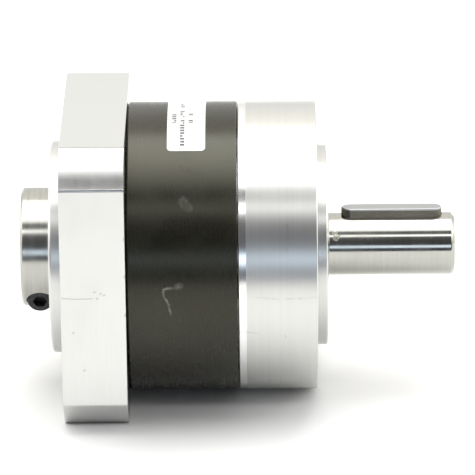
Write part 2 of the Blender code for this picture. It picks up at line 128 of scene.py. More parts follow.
def corner_arc(before, corner, after, radius, steps=4):
    """Points that round one corner of a profile."""
    a = (Vector(before) - Vector(corner)).normalized()
    b = (Vector(after) - Vector(corner)).normalized()
    half = math.acos(max(-1.0, min(1.0, a.dot(b)))) / 2
    reach = radius / math.tan(half)
    centre = Vector(corner) + (a + b).normalized() * radius / math.sin(half)
    start = Vector(corner) + a * reach - centre
    end = Vector(corner) + b * reach - centre
    sweep = start.angle_signed(end) if start.length > 0 else 0.0
    points = []
    for i in range(steps + 1):
        turn = Matrix.Rotation(-sweep * i / steps, 2)
        points.append(tuple(centre + turn @ start))
    return points


def rounded(profile, closed=True):
    """Profile of (r, x) or (r, x, fillet radius) points, with each marked corner rounded."""
    points = []
    count = len(profile)
    for i, point in enumerate(profile):
        if len(point) == 2 or (not closed and i in (0, count - 1)):
            points.append(tuple(point[:2]))
            continue
        before, after = profile[i - 1][:2], profile[(i + 1) % count][:2]
        points += corner_arc(before, point[:2], after, point[2])
    return points


def make_object(name, bm):
    """Object made of a bmesh, faces outwards, linked to the scene."""
    mesh = bpy.data.meshes.new(name)
    bmesh.ops.recalc_face_normals(bm, faces=bm.faces)
    bm.to_mesh(mesh)
    bm.free()
    obj = bpy.data.objects.new(name, mesh)
    bpy.context.scene.collection.objects.link(obj)
    return obj


def lathe(name, profile, steps=ROUND_STEPS, place=None):
    """Turn a profile of (r, x) points about the X axis. Points with r = 0 end it on the axis."""
    solid = profile[0][0] == 0
    bm = bmesh.new()
    rings = []
    for r, x in profile:
        if r == 0:
            rings.append([bm.verts.new((x * MM, 0, 0))] * steps)
            continue
        ring = []
        for k in range(steps):
            a = 2 * math.pi * k / steps
            ring.append(bm.verts.new((x * MM, r * math.cos(a) * MM, r * math.sin(a) * MM)))
        rings.append(ring)
    pairs = list(zip(rings, rings[1:]))
    if not solid:
        pairs.append((rings[-1], rings[0]))
    for one, two in pairs:
        for k in range(steps):
            corners = [one[k], one[(k + 1) % steps], two[(k + 1) % steps], two[k]]
            bm.faces.new(list(dict.fromkeys(corners)))
    if place is not None:
        bmesh.ops.transform(bm, matrix=place, verts=bm.verts)
    return make_object(name, bm)


def prism(name, outline, low, high, place=None):
    """Closed outline of (a, b) points in the plane of local X and Y, drawn out along local Z."""
    bm = bmesh.new()
    base = [bm.verts.new((a * MM, b * MM, low * MM)) for a, b in outline]
    top = [bm.verts.new((a * MM, b * MM, high * MM)) for a, b in outline]
    bm.faces.new(base[::-1])
    bm.faces.new(top)
    for k in range(len(outline)):
        n = (k + 1) % len(outline)
        bm.faces.new((base[k], base[n], top[n], top[k]))
    if place is not None:
        bmesh.ops.transform(bm, matrix=place, verts=bm.verts)
    return make_object(name, bm)


def on_circle(radius, angle, centre=(0.0, 0.0)):
    """Point at an angle on a circle."""
    a = math.radians(angle)
    return centre[0] + radius * math.cos(a), centre[1] + radius * math.sin(a)


def arc(radius, start, end, steps, centre=(0.0, 0.0)):
    """Points along an arc from one angle to another."""
    turns = [start + (end - start) * i / steps for i in range(steps + 1)]
    return [on_circle(radius, turn, centre) for turn in turns]


def apply_modifiers(obj):
    """Make the evaluated mesh the object's own."""
    bpy.context.view_layer.update()
    depsgraph = bpy.context.evaluated_depsgraph_get()
    mesh = bpy.data.meshes.new_from_object(obj.evaluated_get(depsgraph))
    obj.modifiers.clear()
    old = obj.data
    obj.data = mesh
    bpy.data.meshes.remove(old)


def carve(obj, cutters, operation="DIFFERENCE"):
    """Cut an object with others, or join them to it, and remove them."""
    for cutter in cutters:
        step = obj.modifiers.new("cut", "BOOLEAN")
        step.operation = operation
        step.solver = "EXACT"
        step.object = cutter
    apply_modifiers(obj)
    for cutter in cutters:
        bpy.data.objects.remove(cutter, do_unlink=True)


def soften(obj, width, segments, angle):
    """Bevel the edges of a piece that are sharper than an angle, by width in millimetres."""
    bevel = obj.modifiers.new("bevel", "BEVEL")
    bevel.width = width * MM
    bevel.segments = segments
    bevel.limit_method = "ANGLE"
    bevel.angle_limit = math.radians(angle)
    bevel.use_clamp_overlap = True
    apply_modifiers(obj)


def finish_piece(obj, material, body, slot, *nodes):
    """Shade a piece, give it its material and tie it to its CAD body and nodes."""
    obj.data.materials.clear()
    obj.data.materials.append(material)
    obj.data.shade_smooth()
    obj.data.set_sharp_from_angle(angle=math.radians(35))
    weigh = obj.modifiers.new("weigh", "WEIGHTED_NORMAL")
    weigh.keep_sharp = True
    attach(obj, body)
    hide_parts(*nodes)


def at_angle(radius, angle, x=0.0):
    """Point at an angle on a circle round the shafts' axis, in metres."""
    return Vector((x, *on_circle(radius, angle))) * MM


def threaded_hole(name, radius, low, high, x_way, place):
    """Cutter for a tapped hole: V grooves of a coarse thread and a lead-in chamfer at its mouth."""
    pitch, depth, chamfer, first_groove = 1.5, 0.55, 1.0, 2.0
    length = high - low
    mouth = high if x_way > 0 else low
    mouth_r = radius + depth + 0.5
    profile = [(0, 0), (radius, 0)]
    for k in range(int((length - first_groove - chamfer) / pitch)):
        at = first_groove + k * pitch
        profile += [(radius, at), (radius + depth, at + pitch * 0.45), (radius, at + pitch * 0.9)]
    profile += [(radius, length - chamfer), (mouth_r, length), (mouth_r, length + 1), (0, length + 1)]
    points = [(r, mouth - x_way * (length - x)) for r, x in profile]
    return lathe(name, points, SMALL_STEPS, place)


def counterbored_holes(face_x, way, end_x):
    """Cutters for the four screw holes of a flange whose outer face looks along way."""
    mouth_r, seat_x = COUNTERBORE_R + LEAD_IN, face_x - way * COUNTERBORE_DEPTH
    profile = [
        (0, face_x + way), (mouth_r, face_x + way), (mouth_r, face_x),
        (COUNTERBORE_R, face_x - way * LEAD_IN), (COUNTERBORE_R, seat_x),
        (SCREW_HOLE_R, seat_x), (SCREW_HOLE_R, end_x), (0, end_x),
    ]
    places = [Matrix.Translation(at_angle(SCREW_CIRCLE_R, angle)) for angle in SCREW_ANGLES]
    return [lathe("counterbore", profile, SMALL_STEPS, place) for place in places]


def tapped_holes(circle_r, radius, low, high, way):
    """Cutters for the four tapped holes of a flange, between its screws."""
    places = [Matrix.Translation(at_angle(circle_r, angle)) for angle in TAP_ANGLES]
    return [threaded_hole("tap", radius, low, high, way, place) for place in places]


# ---------------------------------------------------------------- material helpers

class Tree:
    """Small helper for building a tree of shader nodes."""

    def __init__(self, tree):
        self.nodes, self.links = tree.nodes, tree.links

    def feed(self, socket, value):
        """Link an output to a socket, or give the socket a plain value."""
        if isinstance(value, bpy.types.NodeSocket):
            self.links.new(value, socket)
        else:
            socket.default_value = value

    def node(self, kind, *values, **settings):
        """New node with its first inputs fed and its settings made."""
        made = self.nodes.new(kind)
        for key, value in settings.items():
            setattr(made, key, value)
        for socket, value in zip(made.inputs, values):
            self.feed(socket, value)
        return made

    def math(self, operation, one, two=0.0, clamp=False):
        made = self.node("ShaderNodeMath", one, two, operation=operation)
        made.use_clamp = clamp
        return made.outputs[0]

    def plus(self, one, two):
        return self.math("ADD", one, two)

    def times(self, one, two):
        return self.math("MULTIPLY", one, two)

    def most(self, one, two):
        return self.math("MAXIMUM", one, two)

    def above(self, value, limit):
        """1 where a value is over a limit, else 0."""
        return self.math("GREATER_THAN", value, limit)

    def below(self, value, limit):
        """1 where a value is under a limit, else 0."""
        return self.math("LESS_THAN", value, limit)

    def spread(self, value, low, high, to_low=0.0, to_high=1.0, smooth=False):
        """Map a value from one range to another, held at both ends."""
        made = self.node("ShaderNodeMapRange")
        made.clamp = True
        made.interpolation_type = "SMOOTHSTEP" if smooth else "LINEAR"
        for name, v in (("Value", value), ("From Min", low), ("From Max", high),
                        ("To Min", to_low), ("To Max", to_high)):
            self.feed(made.inputs[name], v)
        return made.outputs[0]

    def mix(self, factor, one, two):
        """Colour between one and two by a factor."""
        made = self.nodes.new("ShaderNodeMix")
        made.data_type = "RGBA"
        self.feed(made.inputs[0], factor)
        self.feed(made.inputs[6], (*one, 1.0) if isinstance(one, tuple) else one)
        self.feed(made.inputs[7], (*two, 1.0) if isinstance(two, tuple) else two)
        return made.outputs[2]

    def blend(self, factor, one, two):
        """Number between one and two by a factor."""
        return self.spread(factor, 0.0, 1.0, one, two)


class Graph(Tree):
    """One material's nodes.

    x, y and z are millimetres, radius is the distance from the shafts' axis, and angle runs from 0 at
    the top over 90 at the front to 180 at the bottom, in degrees.
    """

    def __init__(self, name):
        self.material = bpy.data.materials.new(name)
        self.material.use_nodes = True
        super().__init__(self.material.node_tree)
        self.shader = self.nodes["Principled BSDF"]
        self.position = self.nodes.new("ShaderNodeTexCoord").outputs["Object"]
        split = self.node("ShaderNodeSeparateXYZ", self.position)
        self.x, self.y, self.z = (self.times(split.outputs[i], 1 / MM) for i in range(3))
        squares = self.plus(self.math("POWER", self.y, 2), self.math("POWER", self.z, 2))
        self.radius = self.math("SQRT", squares)
        turn = self.math("ARCTAN2", self.times(self.y, -1.0), self.z)
        self.angle = self.times(turn, 180 / math.pi)

    def around(self, radius=HOUSING_R):
        """Distance from the top line round a cylinder, in millimetres."""
        return self.times(self.angle, math.pi / 180 * radius)

    def vector(self, x, y, z):
        return self.node("ShaderNodeCombineXYZ", x, y, z).outputs[0]

    def noise(self, vector, scale, detail, roughness):
        made = self.node("ShaderNodeTexNoise")
        for name, value in (("Vector", vector), ("Scale", scale),
                            ("Detail", detail), ("Roughness", roughness)):
            self.feed(made.inputs[name], value)
        return made.outputs[0]

    def stroke(self, across, along, start, end, width):
        """1 along a straight mark between two points of a surface, falling to 0 at its half width."""
        dx, dy = end[0] - start[0], end[1] - start[1]
        px = self.math("SUBTRACT", across, start[0])
        py = self.math("SUBTRACT", along, start[1])
        dot = self.plus(self.times(px, dx), self.times(py, dy))
        part = self.math("DIVIDE", dot, dx * dx + dy * dy, clamp=True)
        ex = self.math("SUBTRACT", px, self.times(part, dx))
        ey = self.math("SUBTRACT", py, self.times(part, dy))
        squares = self.plus(self.times(ex, ex), self.times(ey, ey))
        gap = self.math("SQRT", squares)
        return self.spread(gap, width * 0.3, width, 1.0, 0.0, smooth=True)

    def marks(self, across, along, points, width):
        """A mark that runs through several points."""
        total = 0.0
        for start, end in zip(points, points[1:]):
            total = self.most(self.stroke(across, along, start, end, width), total)
        return total

    def bump(self, height, strength, distance):
        """Normal of a surface that a height raises by up to a distance in millimetres."""
        made = self.nodes.new("ShaderNodeBump")
        for name, value in (("Strength", strength), ("Distance", distance * MM), ("Height", height)):
            self.feed(made.inputs[name], value)
        return made.outputs[0]

    def done(self, colour, metallic, roughness, normal=None, **plain):
        """Feed the shader, with further inputs by name, and return the material."""
        inputs = self.shader.inputs
        for key, value in (("Base Color", colour), ("Metallic", metallic), ("Roughness", roughness)):
            self.feed(inputs[key], value)
        if normal is not None:
            self.feed(inputs["Normal"], normal)
        for key, value in plain.items():
            inputs[key.replace("_", " ")].default_value = value
        return self.material


def tool_lines(g, scale, along=0.006):
    """Noise drawn out round the axis, as a lathe leaves it on cylinders and on end faces."""
    where = g.vector(g.x, g.radius, g.times(g.angle, along))
    return g.noise(where, scale, 3.0, 0.6)


def turned_metal(name, colour, dark, roughness, line_scale=2.5, variation=0.2, wear=0.25):
    """Turned bright metal: fine lines round the axis, faint clouding and handling marks."""
    g = Graph(name)
    fine = tool_lines(g, line_scale)
    broad = tool_lines(g, line_scale * 0.18, 0.003)
    cloud = g.noise(g.position, 60.0, 5.0, 0.6)
    mixed = g.plus(g.times(fine, 0.5), g.times(broad, 0.5))
    tone = g.mix(g.spread(mixed, 0.35, 0.65), dark, colour)
    tone = g.mix(g.spread(cloud, 0.45, 0.75, 0.0, wear), tone, dark)
    least, most = roughness * (1 - variation), roughness * (1 + variation)
    rough = g.plus(g.spread(mixed, 0.3, 0.7, least, most),
                   g.spread(cloud, 0.4, 0.7, -0.15 * variation, 0.25 * variation))
    return g, tone, rough, fine


def output_flange_metal():
    """Turned flange, satin, with light rub marks and a finer, brighter band next to the ring gear."""
    g, tone, rough, fine = turned_metal("output_flange_metal", (0.64, 0.64, 0.62), (0.60, 0.60, 0.58),
                                        0.29, variation=0.05, wear=0.12)
    band = g.below(g.x, FINE_BAND_X)
    tone = g.mix(band, tone, (0.86, 0.86, 0.85))
    rough = g.times(rough, g.blend(band, 1.0, 0.6))
    around = g.around()
    rub = g.marks(g.x, around, ((7.5, 90.3), (15.0, 90.9), (24.0, 90.8), (30.5, 90.4)), 0.7)
    line = g.marks(g.x, around, ((0.5, 105.6), (3.3, 105.7), (8.3, 106.5)), 0.35)
    line = g.most(line, g.marks(g.x, around, ((18.3, 107.4), (18.6, 108.8)), 0.4))
    rub = g.most(rub, g.times(line, 1.6))
    worn = g.noise(g.position, 260.0, 3.0, 0.6)
    rub = g.times(rub, g.spread(worn, 0.4, 0.6, 0.1, 0.55))
    tone = g.mix(rub, tone, (0.45, 0.45, 0.44))
    height = g.times(fine, g.blend(band, 1.0, 0.1))
    return g.done(tone, 1.0, rough, g.bump(height, 0.02, 0.02))


def milled_metal():
    """Square flange: smooth milled flats, faint clouds, a painted highlight on top, a rougher boss and
    a few marks in front.
    """
    g = Graph("square_flange_metal")
    milled = g.vector(g.times(g.x, 1.3), g.times(g.y, 0.05), g.times(g.z, 0.05))
    streaks = g.noise(milled, 1.6, 4.0, 0.6)
    cloud = g.noise(g.position, 45.0, 6.0, 0.62)
    fine = g.noise(g.position, 900.0, 2.0, 0.5)
    tone = g.mix(g.spread(streaks, 0.35, 0.65), (0.615, 0.615, 0.60), (0.645, 0.645, 0.63))
    tone = g.mix(g.spread(cloud, 0.5, 0.72, 0.0, 0.25), tone, (0.57, 0.57, 0.555))
    # Painted highlight: the top face of the square is made lighter than the other flats.
    top = g.above(g.z, SQUARE_HALF - 1.0)
    tone = g.mix(g.times(top, 0.7), tone, (0.76, 0.765, 0.755))
    rough = g.plus(g.spread(streaks, 0.3, 0.7, 0.17, 0.20), g.spread(cloud, 0.4, 0.7, 0.0, 0.04))
    boss = g.below(g.x, INPUT_FACE_X - 0.05)
    rough = g.times(rough, g.blend(boss, 1.0, 1.7))
    scratch = g.marks(g.x, g.z, ((-68.4, 0.5), (-63.0, 0.2), (-56.6, 0.3)), 0.36)
    nicks = [((x, z), (x + 0.5, z + 0.25)) for x, z in (
        (-55.9, 2.9), (-53.5, 2.2), (-52.2, 1.6), (-54.9, 0.2), (-64.5, -14.0), (-60.5, -30.0))]
    nicks += [((-44.1, z), (-43.7, z + 0.8)) for z in (24.7, 9.0, -7.0)]
    for nick in nicks:
        scratch = g.most(scratch, g.marks(g.x, g.z, nick, 0.5))
    front = g.below(g.y, 2.0 - SQUARE_HALF)
    scratch = g.times(scratch, g.times(front, 0.75))
    tone = g.mix(scratch, tone, (0.38, 0.38, 0.37))
    height = g.plus(g.times(streaks, 0.3), g.times(fine, 0.2))
    return g.done(tone, 1.0, rough, g.bump(height, 0.07, 0.03))


def black_ring_metal():
    """Blackened steel, slightly brown and green, mottled, with a rubbed patch and a light scratch."""
    g = Graph("black_ring_metal")
    mottle = g.noise(g.position, 70.0, 6.0, 0.65)
    grain = g.noise(g.position, 1400.0, 3.0, 0.6)
    streaks = tool_lines(g, 1.6, 0.01)
    smudge = g.noise(g.position, 22.0, 3.0, 0.5)
    hue = g.noise(g.position, 38.0, 2.0, 0.5)
    worn = g.noise(g.position, 420.0, 3.0, 0.6)

    tone = g.mix(g.spread(mottle, 0.35, 0.7), (0.0030, 0.0028, 0.0014), (0.0058, 0.0053, 0.0030))
    tone = g.mix(g.spread(hue, 0.45, 0.6, 0.0, 0.5), tone, (0.0062, 0.0072, 0.0045))
    tone = g.mix(g.spread(smudge, 0.5, 0.72, 0.0, 0.7), tone, (0.015, 0.0125, 0.0095))

    ragged = g.noise(g.position, 260.0, 3.0, 0.6)
    wander = g.times(g.math("SUBTRACT", ragged, 0.5), 2.4)
    around = g.plus(g.around(), wander)
    scratch = g.marks(g.plus(g.x, wander), around, (
        (-22.5, 85.6), (-25.5, 85.9), (-29.1, 86.8), (-28.4, 90.1), (-26.9, 93.1), (-25.8, 97.4)), 0.65)
    smear = g.marks(g.x, around, ((-22.3, 85.2), (-23.6, 85.8)), 1.9)
    scratch = g.most(scratch, g.times(smear, 0.5))
    scratch = g.times(scratch, g.spread(worn, 0.35, 0.6, 0.15, 0.9))
    rubbed = g.marks(g.x, around, ((-21.0, 52.0), (-19.0, 54.5)), 2.6)
    rubbed = g.times(rubbed, g.spread(worn, 0.35, 0.65, 0.2, 1.0))
    tone = g.mix(g.most(scratch, g.times(rubbed, 0.32)), tone, (0.15, 0.148, 0.135))

    stain = g.marks(g.x, around, ((-21.5, 37.5), (-18.5, 39.2), (-14.5, 41.0)), 1.9)
    stain = g.times(stain, g.spread(worn, 0.4, 0.65, 0.0, 1.0))
    rough = g.plus(g.spread(mottle, 0.3, 0.7, 0.24, 0.31), g.spread(streaks, 0.3, 0.7, -0.02, 0.02))
    rough = g.plus(rough, g.times(stain, 0.16))
    height = g.plus(g.times(grain, 0.4), g.times(streaks, 0.3))
    return g.done(tone, 0.0, rough, g.bump(height, 0.02, 0.02),
                  Specular_IOR_Level=0.52, Specular_Tint=(1.0, 0.97, 0.78, 1.0))


def hub_metal():
    """Clamp hub, finely turned."""
    g, tone, rough, fine = turned_metal("hub_metal", (0.50, 0.50, 0.47), (0.38, 0.378, 0.35),
                                        0.18, line_scale=3.5, wear=0.4)
    return g.done(tone, 1.0, rough, g.bump(fine, 0.12, 0.02))


def shaft_metal():
    """Ground shaft with one bruise near the step, where its skin is dented and rough."""
    g, tone, rough, fine = turned_metal("shaft_metal", (0.48, 0.48, 0.45), (0.42, 0.418, 0.385),
                                        0.13, line_scale=3.5, wear=0.4)
    crumbs = g.noise(g.position, 900.0, 3.0, 0.6)
    ragged_x = g.plus(g.x, g.spread(crumbs, 0.3, 0.7, -0.5, 0.5))
    bruise = g.marks(ragged_x, g.around(SHAFT_R), ((38.2, 10.2), (39.6, 12.4), (38.9, 13.2)), 1.25)
    broken = g.mix(g.spread(crumbs, 0.4, 0.6), (0.30, 0.29, 0.24), (0.80, 0.79, 0.70))
    tone = g.mix(bruise, tone, broken)
    rough = g.plus(rough, g.times(bruise, 0.30))
    dent = g.plus(g.times(fine, 0.4), g.times(g.times(bruise, crumbs), 6.0))
    return g.done(tone, 1.0, rough, g.bump(dent, 0.30, 0.02))


def key_metal():
    """Drawn key steel, with painted light on its top face and painted shade on its side faces."""
    g = Graph("key_metal")
    lines = g.noise(g.vector(g.times(g.x, 0.15), g.y, g.z), 2.2, 4.0, 0.6)
    cloud = g.noise(g.position, 160.0, 5.0, 0.6)
    tone = g.mix(g.spread(lines, 0.35, 0.65), (0.20, 0.19, 0.17), (0.30, 0.29, 0.27))
    tone = g.mix(g.spread(cloud, 0.5, 0.7, 0.0, 0.5), tone, (0.17, 0.15, 0.12))
    # Painted light and shade: a lighter copy of the steel on the key's top face and a darker brown copy
    # on its side faces.
    key_top = SHAFT_R + KEY_ABOVE
    top = g.spread(g.z, key_top - 0.55, key_top - 0.4)
    shaded_key_sides = g.mix(0.65, tone, (0.10, 0.097, 0.072))
    tone = g.mix(top, shaded_key_sides, g.mix(0.8, tone, (0.48, 0.49, 0.50)))
    return g.done(tone, 1.0, g.spread(cloud, 0.3, 0.7, 0.3, 0.42), g.bump(lines, 0.12, 0.03))


def black_oxide():
    """Blackened screws and circlips."""
    g = Graph("black_oxide_metal")
    mottle = g.noise(g.position, 500.0, 4.0, 0.6)
    tone = g.mix(g.spread(mottle, 0.4, 0.7), (0.022, 0.022, 0.024), (0.050, 0.050, 0.053))
    return g.done(tone, 0.5, g.spread(mottle, 0.3, 0.7, 0.3, 0.42), g.bump(mottle, 0.15, 0.02))


def rubber():
    """Matt black seal rubber."""
    g = Graph("seal_rubber")
    grain = g.noise(g.position, 1500.0, 3.0, 0.6)
    tone = g.mix(g.spread(grain, 0.4, 0.7), (0.018, 0.018, 0.018), (0.032, 0.031, 0.03))
    return g.done(tone, 0.0, g.spread(grain, 0.3, 0.7, 0.6, 0.75), g.bump(grain, 0.2, 0.03))


def gear_metal():
    """Hobbed and hardened gear steel, for the inner pieces."""
    g = Graph("gear_metal")
    lines = g.noise(g.vector(g.x, g.y, g.z), 1.2, 5.0, 0.65)
    tone = g.mix(g.spread(lines, 0.35, 0.65), (0.38, 0.37, 0.36), (0.52, 0.51, 0.49))
    return g.done(tone, 1.0, g.spread(lines, 0.3, 0.7, 0.25, 0.38), g.bump(lines, 0.1, 0.03))


def bearing_metal():
    """Bright bearing steel."""
    g, tone, rough, fine = turned_metal("bearing_metal", (0.66, 0.66, 0.66), (0.55, 0.55, 0.55), 0.12)
    return g.done(tone, 1.0, rough, g.bump(fine, 0.06, 0.02))


def label_foil():
    """White foil printed with three loose rows of short grey dashes, which stand for its data."""
    g = Graph("label_foil")
    around = g.around()
    rows = ((-24.6, ((5.0, 12.5),)), (-21.4, ((-9.0, -2.0), (1.0, 8.0), (10.0, 27.0))),
            (-18.1, ((4.0, 6.5), (10.0, 12.5))))
    row_half, pitch = 0.85, 1.7
    inked = 0.0
    for row_x, groups in rows:
        strip = g.below(g.math("ABSOLUTE", g.math("SUBTRACT", g.x, row_x)), row_half)
        for low, high in groups:
            inside = g.times(g.above(around, low), g.below(around, high))
            inked = g.most(inked, g.times(strip, inside))
    dashes = g.math("DIVIDE", around, pitch)
    half_row = g.math("FLOOR", g.math("DIVIDE", g.x, row_half))
    chance = g.node("ShaderNodeTexWhiteNoise", g.vector(half_row, g.math("FLOOR", dashes), 3.0),
                    noise_dimensions="3D").outputs[0]
    dash = g.below(g.math("FRACT", dashes), 0.62)
    inked = g.times(inked, g.times(dash, g.above(chance, 0.12)))
    grime = g.noise(g.position, 120.0, 4.0, 0.6)
    paper = g.mix(g.spread(grime, 0.45, 0.75, 0.0, 0.5), (0.64, 0.64, 0.63), (0.57, 0.57, 0.55))
    tone = g.mix(g.times(inked, 0.95), paper, (0.02, 0.02, 0.025))
    return g.done(tone, 0.0, g.spread(grime, 0.3, 0.7, 0.3, 0.42), g.bump(grime, 0.05, 0.02))


# ---------------------------------------------------------------- pieces

def socket_screw(name, length, place):
    """Socket head screw along local X, head towards +X and its seat at 0, with a hexagon socket."""
    screw = lathe(name, rounded([
        (0, HEAD_HEIGHT), (HEAD_R, HEAD_HEIGHT, 0.5), (HEAD_R, 0.0, 0.15), (SCREW_R, 0.0, 0.2),
        (SCREW_R, -length, 0.6), (0, -length),
    ], closed=False), SMALL_STEPS)
    hexagon = arc(HEXAGON_R, 0, 360, 6)[:-1]
    to_x = Matrix.Rotation(math.pi / 2, 4, "Y")
    carve(screw, [prism("socket", hexagon, HEAD_HEIGHT * 0.45, HEAD_HEIGHT + 1, to_x)])
    screw.data.transform(place)
    return screw


def make_output_flange(material):
    """Round flange with its collar, seal and bearing bores, screw holes and tapped mounting holes."""
    band_r = HOUSING_R - 0.04
    flange = lathe("output_flange_body", rounded([
        (COLLAR_R - 0.45, COLLAR_X), (COLLAR_R, COLLAR_X - 0.45, 0.1), (COLLAR_R, OUTPUT_FACE_X, 0.3),
        (HOUSING_R - 0.35, OUTPUT_FACE_X, 0.15), (HOUSING_R, OUTPUT_FACE_X - 0.35, 0.15),
        (HOUSING_R, FINE_BAND_X + 0.05), (band_r, FINE_BAND_X), (band_r, 0.6),
        (HOUSING_R - 0.5, 0.12), (REGISTER_R, 0.15), (REGISTER_R, -4.0), (34.2, -4.0),
        (34.2, 11.3), (25.2, 11.3), (25.2, 12.0), (OUTPUT_BORE_R, 12.0), (OUTPUT_BORE_R, 25.5),
        (29.2, 25.5), (29.2, 27.6), (OUTPUT_BORE_R, 27.6), (OUTPUT_BORE_R, COLLAR_X - 0.5),
        (28.2, COLLAR_X),
    ]))
    cutters = counterbored_holes(OUTPUT_FACE_X, 1, -2.0)
    cutters += tapped_holes(SCREW_CIRCLE_R, OUTPUT_TAP_R, OUTPUT_FACE_X - 18, OUTPUT_FACE_X, 1)
    carve(flange, cutters)
    finish_piece(flange, material, "housing", "machined_flange", "output_flange")


def make_ring_gear(material):
    """Sleeve with a register at each end, blind holes for the flange screws and the teeth inside."""
    low, high = RING_LOW.x, RING_HIGH.x
    seat_r, register_r = 45.6, 43.1
    ring = lathe("ring_gear_body", rounded([
        (seat_r, high), (HOUSING_R - 0.3, high, 0.05), (HOUSING_R, high - 0.3, 0.1),
        (HOUSING_R, low + 0.8, 0.2), (HOUSING_R - 0.8, low, 0.1), (seat_r, low),
        (register_r, low + 2.5), (register_r, -38.5), (RING_BORE_R, -38.5), (RING_BORE_R, -5.5),
        (register_r, -5.5), (register_r, high - 2.5),
    ]), 4 * RING_TEETH)
    # Radius of a tooth space and the half angle that it takes there.
    flank = ((38.6, 2.70), (39.4, 2.42), (40.5, 1.95), (41.5, 1.55), (42.4, 1.15))
    outline = []
    for k in range(RING_TEETH):
        middle = 360 / RING_TEETH * k
        outline += [on_circle(r, middle - half) for r, half in flank]
        outline += [on_circle(r, middle + half) for r, half in reversed(flank)]
    cutters = [prism("tooth_spaces", outline, -39.0, -5.0, ALONG_X)]
    for angle in SCREW_ANGLES:
        place = Matrix.Translation(at_angle(SCREW_CIRCLE_R, angle))
        for start, end in ((1, -11.5), (-31.5, -45)):
            hole = [(0, start), (SCREW_HOLE_R, start), (SCREW_HOLE_R, end), (0, end)]
            cutters.append(lathe("blind_hole", hole, SMALL_STEPS, place))
    carve(ring, cutters)
    finish_piece(ring, material, "housing", "black_ring_gear", "ring_gear")


def square_outline(half, corner_r, steps=16):
    """Square whose corners are turned off to a circle."""
    reach = math.sqrt(corner_r ** 2 - half ** 2)
    corner = math.degrees(math.atan2(reach, half))
    outline = []
    for k in range(4):
        outline += arc(corner_r, 90 * k + corner, 90 * (k + 1) - corner, steps)
    return outline


def make_input_flange(material):
    """Square motor flange with its boss and spigot, seal and bearing bore and mounting holes."""
    flange = prism("input_flange_body", square_outline(SQUARE_HALF, SQUARE_CORNER_R),
                   INPUT_FACE_X, SQUARE_BACK_X, ALONG_X)
    soften(flange, 0.35, 2, 60)
    inside_x = -60.0
    boss = lathe("boss", rounded([
        (0, inside_x), (BOSS_R, inside_x), (BOSS_R, BOSS_X, 1.2), (0, BOSS_X),
    ], closed=False))
    spigot = lathe("spigot", [
        (0, -39.0), (REGISTER_R - 0.45, -39.0), (REGISTER_R, -39.4), (REGISTER_R, -50.0), (0, -50.0),
    ])
    carve(flange, [boss, spigot], "UNION")
    bearing_r, seal_r = 34.2, 31.2
    cutters = [lathe("bore", [
        (0, -38.0), (39.4, -38.0), (39.4, -44.4), (bearing_r, -44.4), (bearing_r, -48.7),
        (35.7, -48.7), (35.7, -50.9), (bearing_r, -50.9), (bearing_r, -66.2), (seal_r, -66.2),
        (seal_r, BOSS_X + 0.6), (seal_r + 0.6, BOSS_X), (seal_r + 0.6, BOSS_X - 2), (0, BOSS_X - 2),
    ])]
    cutters += counterbored_holes(INPUT_FACE_X, -1, -38.0)
    cutters += tapped_holes(ADAPTER_CIRCLE_R, INPUT_TAP_R, INPUT_FACE_X, INPUT_FACE_X + 16, -1)
    carve(flange, cutters)
    finish_piece(flange, material, "housing", "machined_flange", "input_flange")


def key_outline(length, width, steps=16):
    """Round-ended key or keyway, seen from above."""
    middle = (KEY_LOW.x + KEY_HIGH.x) / 2
    straight = (length - width) / 2
    return (arc(width / 2, -90, 90, steps, (middle + straight, 0.0))
            + arc(width / 2, 90, 270, steps, (middle - straight, 0.0)))


def key_turn():
    """Turns a key drawn on top of the shaft to the key's own angle."""
    return Matrix.Rotation(math.radians(KEY_ANGLE - 90), 4, "X")


def make_output_shaft(material):
    """Shaft and carrier in one: keyway, tapped centre, planet pockets and pin holes."""
    shaft = lathe("output_shaft_body", rounded([
        (0, SHAFT_END_X), (SHAFT_R - 1.3, SHAFT_END_X, 0.5), (SHAFT_R, SHAFT_END_X - 1.3, 0.9),
        (SHAFT_R, SHAFT_STEP_X, 0.4), (SEAL_SEAT_R, SHAFT_STEP_X, 0.2), (SEAL_SEAT_R, 27.3),
        (14.0, 27.3), (14.0, 25.4), (SEAL_SEAT_R, 25.4), (SEAL_SEAT_R, 11.6, 0.3), (20.0, 11.6, 0.3),
        (20.0, -4.3, 0.2), (24.0, -4.3), (24.0, -4.8), (CARRIER_R, -4.8, 0.6),
        (CARRIER_R, CARRIER_END_X, 0.6), (POCKET_R, CARRIER_END_X, 0.4), (POCKET_R, POCKET_START_X),
        (0, POCKET_START_X),
    ], closed=False), 128)
    keyway = prism("keyway", key_outline(KEY_LENGTH + 0.3, KEY_WIDTH + 0.3),
                   SHAFT_R - KEY_DEPTH - 0.15, SHAFT_R + KEY_ABOVE, key_turn())
    cutters = [keyway, threaded_hole("centre_tap", OUTPUT_TAP_R, SHAFT_END_X - 22, SHAFT_END_X, 1,
                                     Matrix.Identity(4))]
    for angle in PLANET_ANGLES:
        place = Matrix.Translation(at_angle(PLANET_ORBIT_R, angle))
        for name, radius, start, end, steps in (
                ("pocket", POCKET_R, POCKET_START_X, POCKET_END_X, 64),
                ("pin_hole", PIN_HOLE_R, PIN_HOLE_START_X, CARRIER_END_X - 2.0, 32)):
            profile = [(0, start), (radius, start), (radius, end), (0, end)]
            cutters.append(lathe(name, profile, steps, place))
    carve(shaft, cutters)
    finish_piece(shaft, material, "output", "ground_steel", "output_shaft")


def make_key(material):
    """Feather key with softened edges."""
    key = prism("feather_key", key_outline(KEY_LENGTH, KEY_WIDTH),
                SHAFT_R - KEY_DEPTH, SHAFT_R + KEY_ABOVE, key_turn())
    soften(key, 0.45, 3, 50)
    finish_piece(key, material, "output", "ground_steel", "shaft_key")


